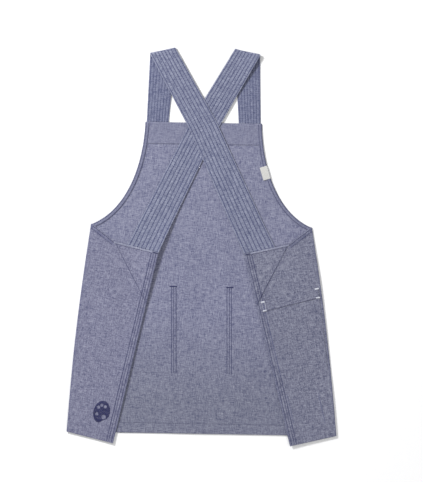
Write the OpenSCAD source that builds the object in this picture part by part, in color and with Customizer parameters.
// Cross-back artist smock apron, laid flat with its back up. Millimetres, +Z up.
// The body cloth is one wide sheet. Its two sides fold over at the side folds, and those
// wings lie on the front with their outer faces up. Shapes are drawn on the spread-out
// pattern, from the middle of the front hem, and a wing is the pattern's mirror image
// in its side fold. The straps rise from the bib, turn at the shoulders and cross.

/* [Body cloth] */
// Width of the whole body cloth, spread out
cloth_full_w = 904; // [900:1:1100]
// Width of the front between the side folds, at the hem
hem_w = 670; // [550:2:676]
// Width of the front where the armholes end
side_w = 548; // [480:2:580]
// Width of the bib at its top
bib_w = 291; // [270:1:330]
// Height of the bib's top above the hem
bib_h = 777; // [680:1:940]
// Height of the side folds above the hem
side_h = 520; // [430:1:560]
// Fall of the armhole's edge from the side fold to the wing's top, spread out
wing_top_fall = 30; // [10:1:50]
// Thickness of one layer of cloth
cloth_t = 0.8; // [0.5:0.1:1.2]

/* [Hems and facings] */
// Depth of the turned-up hems
hem_d = 26; // [15:1:40]
// Depth of the bib's facing
facing_d = 54; // [30:1:80]
// Width of the armhole bindings
binding_w = 10; // [6:1:16]
// Width of the hem down each wing's back edge
edge_hem_w = 18; // [12:1:26]
// Length of a wing's top edge, which its corner patch covers
seam_w = 113; // [100:1:115]
// Length of a corner patch down the wing's back edge
patch_drop = 131; // [90:1:170]

/* [Pockets] */
// Space between the two front pockets
pocket_gap = 124; // [80:2:200]
// Space between a front pocket and the side fold
pocket_side_gap = 8; // [5:1:60]
// Fall of the pocket mouths below the side folds' upper ends
pocket_mouth_drop = 153; // [150:1:200]
// Depth of the pockets
pocket_d = 217; // [160:1:240]
// Space between the wing pocket and the back edge's hem line
wing_pocket_inset = 12; // [6:1:20]
// Length of the wing pocket's bar tacks
tack_l = 9; // [5:1:14]
// Width of a bar tack
tack_w = 4; // [2:0.5:6]
// Length of the front pockets' bar tacks
front_tack_l = 17; // [12:1:24]
// Thickness of a bar tack's thread
tack_t = 0.6; // [0.4:0.1:1]

/* [Straps] */
// Width of a strap at the bib
strap_bib_w = 54; // [40:1:70]
// Width of a strap at the shoulder
strap_shoulder_w = 62; // [45:1:80]
// Width of a strap at the wing
strap_wing_w = 77; // [60:1:94]
// Thickness of a quilted strap
strap_t = 1.6; // [1.2:0.1:2.4]
// Distance between the straps' centres at the bib
strap_spread = 230; // [200:1:260]
// Distance between the shoulder folds' centres
shoulder_spread = 211; // [190:1:240]
// Height of the shoulder folds above the bib's top
shoulder_rise = 177; // [140:1:230]
// Distance of the strap crossing below the bib's top
crossing_drop = 9; // [0:1:40]

/* [Trims] */
// Width of the label
label_w = 18; // [12:1:26]
// Length of the label
label_l = 33; // [20:1:44]
// Thickness of the label's tape
label_t = 0.6; // [0.4:0.1:0.9]
// Place of the label along the armhole, 0 at the bib and 1 at the side fold
label_at = 0.34; // [0.25:0.01:0.5]
// Height of the embroidered palette
motif_h = 56; // [40:1:70]
// Distance of the palette's middle from the left wing's back edge
motif_inset = 45; // [42:1:60]
// Height of the palette's middle above the hem, spread out
motif_up = 69; // [62:1:120]
// Thickness of the embroidery
motif_t = 0.4; // [0.3:0.1:0.8]

/* [Lay] */
// Drop of each level line from left to right, as the apron lies, in degrees
lay_tilt = 0.96; // [0:0.01:2]
// Lean of the shoulders to the right, as the apron lies
lay_lean = 9.4; // [0:0.1:16]
// Free space between cloths that lie loose on each other
loose_gap = 0.3; // [0.3:0.05:0.6]
// Free space between a strap's end and the wing's top edge
seam_gap = 0.5; // [0.4:0.1:1]
// Distance of a tail's bend line below the strap crossing
bend_drop = 8; // [6:1:20]

/* [Hidden] */
$fn = 48;

LEFT = -1;
RIGHT = 1;
arc_steps = 16;                     // Straight pieces in an armhole's curve

// Palette: its width, the bay in its rim, the thumb hole and the paint wells, in half heights
palette_half_w = 0.72;
palette_bay = 0.22;
palette_bay_turn = 60;
palette_bay_narrow = 6;
thumb_hole = [0.28, -0.42];
thumb_hole_r = 0.13;
well_r = 0.11;
well_ring = [0.41, 0.62];
well_turns = [60, 108, 156, 204];
rim_step = 10;

// Heights of the layers above the surface that the apron lies on
panel_z = cloth_t;
facing_z = panel_z + cloth_t;
wing_hem_z = facing_z + cloth_t + loose_gap;
wing_z = wing_hem_z + cloth_t;
patch_z = wing_z + cloth_t;
mouth_hem_z = patch_z + cloth_t;
label_z = facing_z + cloth_t + loose_gap;
lower_strap_z = facing_z + cloth_t + loose_gap;
upper_strap_z = lower_strap_z + strap_t;
front_run_z = 0;

// Corners of the spread-out pattern, for the right-hand half
bib_corner = [bib_w / 2, bib_h];
side_corner = [side_w / 2, side_h];
hem_corner = [hem_w / 2, 0];
back_x = cloth_full_w / 2;
edge_hem_x = back_x - edge_hem_w;
wing_top_h = side_h - wing_top_fall;
seam_out = [back_x - seam_w, wing_top_h];
seam_in = [back_x, wing_top_h];
shoulder_h = bib_h + shoulder_rise;

// Pulls that shape the armhole's curve at its two ends
armhole_span = bib_corner - side_corner;
armhole_pull_top = bib_corner + [-0.03 * armhole_span[0], -0.51 * armhole_span[1]];
armhole_pull_side = side_corner + [0.576 * armhole_span[0], 0.117 * armhole_span[1]];

function unit(v) = v / norm(v);
function across(v) = [-v[1], v[0]];
function between(p, q, t) = p + (q - p) * t;

// Point where the line through a and b meets the line through c and d
function meet(a, b, c, d) =
    let (u = b - a, v = d - c, w = c - a, k = (w[0] * v[1] - w[1] * v[0]) / (u[0] * v[1] - u[1] * v[0]))
    a + u * k;

// Mirror image of a pattern point in the right-hand side fold
function folded(p) =
    let (d = unit(hem_corner - side_corner), v = p - side_corner, on = d * (v * d))
    side_corner + 2 * on - v;

// Point of the side fold at a height
function fold_at(y) = between(hem_corner, side_corner, y / side_h);

// Pockets
pocket_back_x = back_x - wing_pocket_inset;
pocket_mouth_h = side_h - pocket_mouth_drop;
pocket_low = pocket_mouth_h - pocket_d;

// The armhole's curve from the bib, t = 0, to the side fold, t = 1
function armhole(t) =
    bib_corner * pow(1 - t, 3) + 3 * armhole_pull_top * t * pow(1 - t, 2)
    + 3 * armhole_pull_side * pow(t, 2) * (1 - t) + side_corner * pow(t, 3);
function armhole_way(t) = unit(armhole(t + 0.01) - armhole(t - 0.01));
function armhole_inner(t) = armhole(t) - binding_w * across(armhole_way(t));

// Straps, for the right shoulder's, whose tail joins the left wing. The other is its mirror image.
bib_end = [strap_spread / 2, bib_h];
shoulder = [shoulder_spread / 2, shoulder_h];
crossing = [0, bib_h - crossing_drop];
run_way = unit(shoulder - bib_end);
rear_way = unit(crossing - shoulder);
bend_way = unit(run_way - rear_way);
shoulder_way = across(bend_way);
shoulder_half = strap_shoulder_w / 2 / abs(run_way * bend_way);
shoulder_top = shoulder + shoulder_way * shoulder_half;
shoulder_side = shoulder - shoulder_way * shoulder_half;

tail_in = mirror_x(folded(seam_in));
tail_way = unit(mirror_x(folded(seam_out)) - tail_in);
tail_along = unit(crossing - (tail_in + tail_way * strap_wing_w / 2));
tail_out = tail_in + tail_way * strap_wing_w / abs(tail_way * across(tail_along));
rear_l = norm(crossing - shoulder);
tail_l = norm(crossing - (tail_in + tail_out) / 2);
strap_cross_w = strap_shoulder_w + (strap_wing_w - strap_shoulder_w) * rear_l / (rear_l + tail_l);
cross_side = unit(across(unit(tail_along - rear_way)));
cross_out = crossing + cross_side * strap_cross_w / 2;
cross_in = crossing - cross_side * strap_cross_w / 2;

function mirror_x(p) = [-p[0], p[1]];

// The line that a tail bends on, from the side fold to just below the crossing
bend_out = meet(tail_in, tail_out, mirror_x(side_corner), mirror_x(hem_corner));
notch = meet(cross_in, tail_in, [0, 0], [0, 1]);
bend_in = notch + unit(tail_in - notch) * bend_drop;
bend_side = unit(across(bend_in - bend_out));
bend_at_edge = meet(bend_out, bend_in, cross_out, tail_out);

// Free space between a wing and its side fold, as a step away from the fold
fold_step = loose_gap * across(unit(side_corner - hem_corner));

// Turned rolls of cloth at the side folds and the shoulders
side_roll_z = (panel_z + wing_z + cloth_t) / 2;
side_roll_r = (wing_z + cloth_t - panel_z) / 2;
lower_roll_r = (lower_strap_z + strap_t - front_run_z) / 2;
upper_roll_r = (upper_strap_z + strap_t - front_run_z) / 2;

// Where the apron lies: the middle of its outline is at the origin
drop = tan(lay_tilt);
lay_top = shoulder_top[1] + drop * shoulder_top[0] + upper_roll_r * bend_way[1];
lay_bottom = folded([back_x, 0])[1] - drop * folded([back_x, 0])[0];
lay_middle = (lay_top + lay_bottom) / 2;
function lean(y) = lay_lean * max(0, y - side_h) / (shoulder_h - side_h);
function lay(p) = [p[0] + lean(p[1]), p[1] - lay_middle - drop * p[0]];

// A flat piece from its outline on the right-hand half, or its mirror image on the left
module piece(side, outline, z, t)
    translate([0, 0, z])
        linear_extrude(t)
            polygon([for (p = outline) lay([side * p[0], p[1]])]);

// A half-round roll of cloth from p to q, bulging to the left of that way
module roll(p, q, outer_r, t, z) {
    v = q - p;
    translate([p[0], p[1], z])
        rotate([0, 0, atan2(v[1], v[0])])
            rotate([90, 0, 90])
                linear_extrude(norm(v))
                    difference() {
                        circle(outer_r);
                        circle(outer_r - t);
                        translate([-2 * outer_r, -outer_r])
                            square([2 * outer_r, 2 * outer_r]);
                    }
}

// A thread bar of length l along a direction, centred on a point
module bar(middle, way, l, w, z)
    translate([middle[0], middle[1], z])
        rotate([0, 0, atan2(way[1], way[0])])
            translate([-l / 2, -w / 2, 0])
                cube([l, w, tack_t]);

// Front
module front_panel() {
    right = [for (i = [0:arc_steps]) armhole(i / arc_steps)];
    left = [for (i = [arc_steps:-1:0]) mirror_x(armhole(i / arc_steps))];
    color("#8388a3")
        piece(RIGHT, concat(right, [hem_corner, mirror_x(hem_corner)], left), panel_z, cloth_t);
}

module bib_facing() {
    facing_x = bib_w / 2 - binding_w;
    color("#8a8fab")
        piece(RIGHT, [
            [-facing_x, bib_h], [facing_x, bib_h],
            [facing_x, bib_h - facing_d], [-facing_x, bib_h - facing_d]
        ], facing_z, cloth_t);
}

module front_hem() {
    color("#7a7f99")
        piece(RIGHT, [
            fold_at(hem_d), hem_corner, mirror_x(hem_corner), mirror_x(fold_at(hem_d))
        ], facing_z, cloth_t);
}

module armhole_binding(side) {
    outer = [for (i = [0:arc_steps]) armhole(i / arc_steps)];
    inner = [for (i = [arc_steps:-1:0]) armhole_inner(i / arc_steps)];
    color("#767c9a")
        intersection() {
            piece(side, concat(outer, inner), facing_z, cloth_t);
            piece(side, [
                [0, bib_h], [bib_w, bib_h], side_corner, fold_at(hem_d), [0, 0]
            ], facing_z, cloth_t);
        }
}
module left_armhole_binding() { armhole_binding(LEFT); }
module right_armhole_binding() { armhole_binding(RIGHT); }

// Front pockets, on the outside and so underneath
module front_pocket(side) {
    near = pocket_gap / 2;
    far = min(fold_at(pocket_mouth_h)[0], fold_at(pocket_low)[0]) - pocket_side_gap;
    color("#7f849f")
        piece(side, [
            [near, pocket_mouth_h], [far, pocket_mouth_h], [far, pocket_low], [near, pocket_low]
        ], panel_z - cloth_t, cloth_t);
}
module left_front_pocket() { front_pocket(LEFT); }
module right_front_pocket() { front_pocket(RIGHT); }

module front_pocket_bar_tacks() {
    color("#2b3050")
        for (side = [LEFT, RIGHT])
            bar(lay([side * (pocket_gap / 2 + front_tack_l / 2), pocket_mouth_h]),
                [1, -drop], front_tack_l, tack_w, facing_z);
}

// Side folds: the body cloth turns over here
module left_side_fold() {
    color("#6c7190")
        roll(lay(mirror_x(hem_corner)), lay(mirror_x(side_corner)), side_roll_r, cloth_t, side_roll_z);
}
module right_side_fold() {
    color("#6c7190")
        roll(lay(side_corner), lay(hem_corner), side_roll_r, cloth_t, side_roll_z);
}

// Straps
module strap_front(side) {
    half = strap_bib_w / 2;
    color("#5f6688")
        piece(side, [
            bib_end - [half, 0], bib_end + [half, 0], shoulder_side, shoulder_top
        ], front_run_z, strap_t);
}
module left_strap_front() { strap_front(LEFT); }
module right_strap_front() { strap_front(RIGHT); }

module left_shoulder_fold() {
    color("#565d80")
        roll(lay(mirror_x(shoulder_side)), lay(mirror_x(shoulder_top)), upper_roll_r, strap_t, upper_roll_r);
}
module right_shoulder_fold() {
    color("#565d80")
        roll(lay(shoulder_top), lay(shoulder_side), lower_roll_r, strap_t, lower_roll_r);
}

// A rear run ends on its tail's bend line. The left shoulder's run lies on the right one's.
module strap_rear(side, z) {
    color("#666d91")
        piece(side, [
            shoulder_top, shoulder_side, cross_in, bend_in, bend_at_edge, cross_out
        ], z, strap_t);
}
module left_strap_rear() { strap_rear(LEFT, upper_strap_z); }
module right_strap_rear() { strap_rear(RIGHT, lower_strap_z); }

// A tail runs from its bend line to its wing and lifts with the wing
module strap_tail(side) {
    bend_gap = loose_gap * bend_side;
    seam_side = unit(across(tail_way));
    end_gap = seam_gap * sign(seam_side[1]) * seam_side;
    color("#5a618a")
        piece(side, [
            bend_in - bend_gap, bend_at_edge - bend_gap, tail_out + end_gap, tail_in + end_gap
        ], lower_strap_z, strap_t);
}
module left_strap_tail() { strap_tail(LEFT); }
module right_strap_tail() { strap_tail(RIGHT); }

// Wings: the sides of the body cloth, folded over the front
module wing(side) {
    color("#8085a0")
        piece(side, [
            side_corner + fold_step, hem_corner + fold_step,
            folded([back_x, 0]), folded(seam_in), folded(seam_out)
        ], wing_z, cloth_t);
}
module left_wing() { wing(LEFT); }
module right_wing() { wing(RIGHT); }

module wing_edge_hem(side) {
    color("#757b9b")
        piece(side, [
            folded([edge_hem_x, 0]), folded([back_x, 0]), folded(seam_in), folded([edge_hem_x, wing_top_h])
        ], wing_hem_z, cloth_t);
}
module left_wing_edge_hem() { wing_edge_hem(LEFT); }
module right_wing_edge_hem() { wing_edge_hem(RIGHT); }

module wing_bottom_hem(side) {
    color("#757b9b")
        piece(side, [
            fold_at(hem_d) + 2 * fold_step, hem_corner + 2 * fold_step,
            folded([edge_hem_x, 0]), folded([edge_hem_x, hem_d])
        ], wing_hem_z, cloth_t);
}
module left_wing_bottom_hem() { wing_bottom_hem(LEFT); }
module right_wing_bottom_hem() { wing_bottom_hem(RIGHT); }

module wing_binding(side) {
    way = unit(seam_out - side_corner);
    down = -binding_w * across(way);
    color("#767c9a")
        piece(side, [
            side_corner + 2 * fold_step, folded(seam_out), folded(seam_out + down),
            fold_at(side_h - binding_w) + 2 * fold_step
        ], wing_hem_z, cloth_t);
}
module left_wing_binding() { wing_binding(LEFT); }
module right_wing_binding() { wing_binding(RIGHT); }

module corner_patch(side) {
    color("#878ca8")
        piece(side, [
            folded(seam_out), folded(seam_in), folded(seam_in - [0, patch_drop])
        ], patch_z, cloth_t);
}
module left_corner_patch() { corner_patch(LEFT); }
module right_corner_patch() { corner_patch(RIGHT); }

// Wing pocket, on the right wing's outer face
module wing_pocket() {
    color("#7b809a")
        piece(RIGHT, [
            fold_at(pocket_mouth_h) + 4 * fold_step, folded([pocket_back_x, pocket_mouth_h]),
            folded([pocket_back_x, pocket_low]), fold_at(pocket_low) + 4 * fold_step
        ], patch_z, cloth_t);
}

module wing_pocket_mouth_hem() {
    mouth_line = pocket_mouth_h - hem_d;
    color("#8a8fa9")
        piece(RIGHT, [
            fold_at(pocket_mouth_h) + 4 * fold_step, folded([pocket_back_x, pocket_mouth_h]),
            folded([pocket_back_x, mouth_line]), fold_at(mouth_line) + 4 * fold_step
        ], mouth_hem_z, cloth_t);
}

module wing_pocket_bar_tacks() {
    color("#d9dadf")
        for (y = [pocket_mouth_h, pocket_mouth_h - hem_d]) {
            near_fold = fold_at(y)[0] + tack_l;
            for (x = [near_fold, pocket_back_x - tack_l / 2]) {
                way = lay(folded([x + 1, y - tack_w / 2])) - lay(folded([x, y - tack_w / 2]));
                bar(lay(folded([x, y - tack_w / 2])), way, tack_l, tack_w, mouth_hem_z + cloth_t);
            }
        }
}

// Embroidered painter's palette near the left wing's lower corner
module palette_motif() {
    motif_at = lay(mirror_x(folded([back_x - motif_inset, motif_up])));
    turn = 2 * atan2(hem_corner[0] - side_corner[0], side_h);
    r = motif_h / 2;
    color("#2b3050")
        translate([motif_at[0], motif_at[1], patch_z])
            rotate([0, 0, -turn])
                linear_extrude(motif_t)
                    difference() {
                        polygon([for (a = [0:rim_step:360 - rim_step])
                            let (bay = palette_bay * pow(max(0, cos(a + palette_bay_turn)), palette_bay_narrow))
                            r * (1 - bay) * [palette_half_w * cos(a), sin(a)]]);
                        translate(r * thumb_hole)
                            circle(r * thumb_hole_r);
                        for (a = well_turns)
                            translate(r * [well_ring[0] * cos(a), well_ring[1] * sin(a)])
                                circle(r * well_r);
                    }
}

// Label on the right armhole's edge
module size_label() {
    edge = armhole(label_at);
    way = armhole_way(label_at);
    inward = -label_w * across(way);
    color("#dcdcd8")
        piece(RIGHT, [
            edge - way * label_l / 2, edge + way * label_l / 2,
            edge + way * label_l / 2 + inward, edge - way * label_l / 2 + inward
        ], label_z, label_t);
}

front_panel();
bib_facing();
front_hem();
left_armhole_binding();
right_armhole_binding();
left_front_pocket();
right_front_pocket();
front_pocket_bar_tacks();
left_side_fold();
right_side_fold();
left_strap_front();
right_strap_front();
left_shoulder_fold();
right_shoulder_fold();
left_strap_rear();
right_strap_rear();
left_strap_tail();
right_strap_tail();
left_wing();
left_wing_edge_hem();
left_wing_bottom_hem();
left_wing_binding();
left_corner_patch();
palette_motif();
right_wing();
right_wing_edge_hem();
right_wing_bottom_hem();
right_wing_binding();
right_corner_patch();
wing_pocket();
wing_pocket_mouth_hem();
wing_pocket_bar_tacks();
size_label();
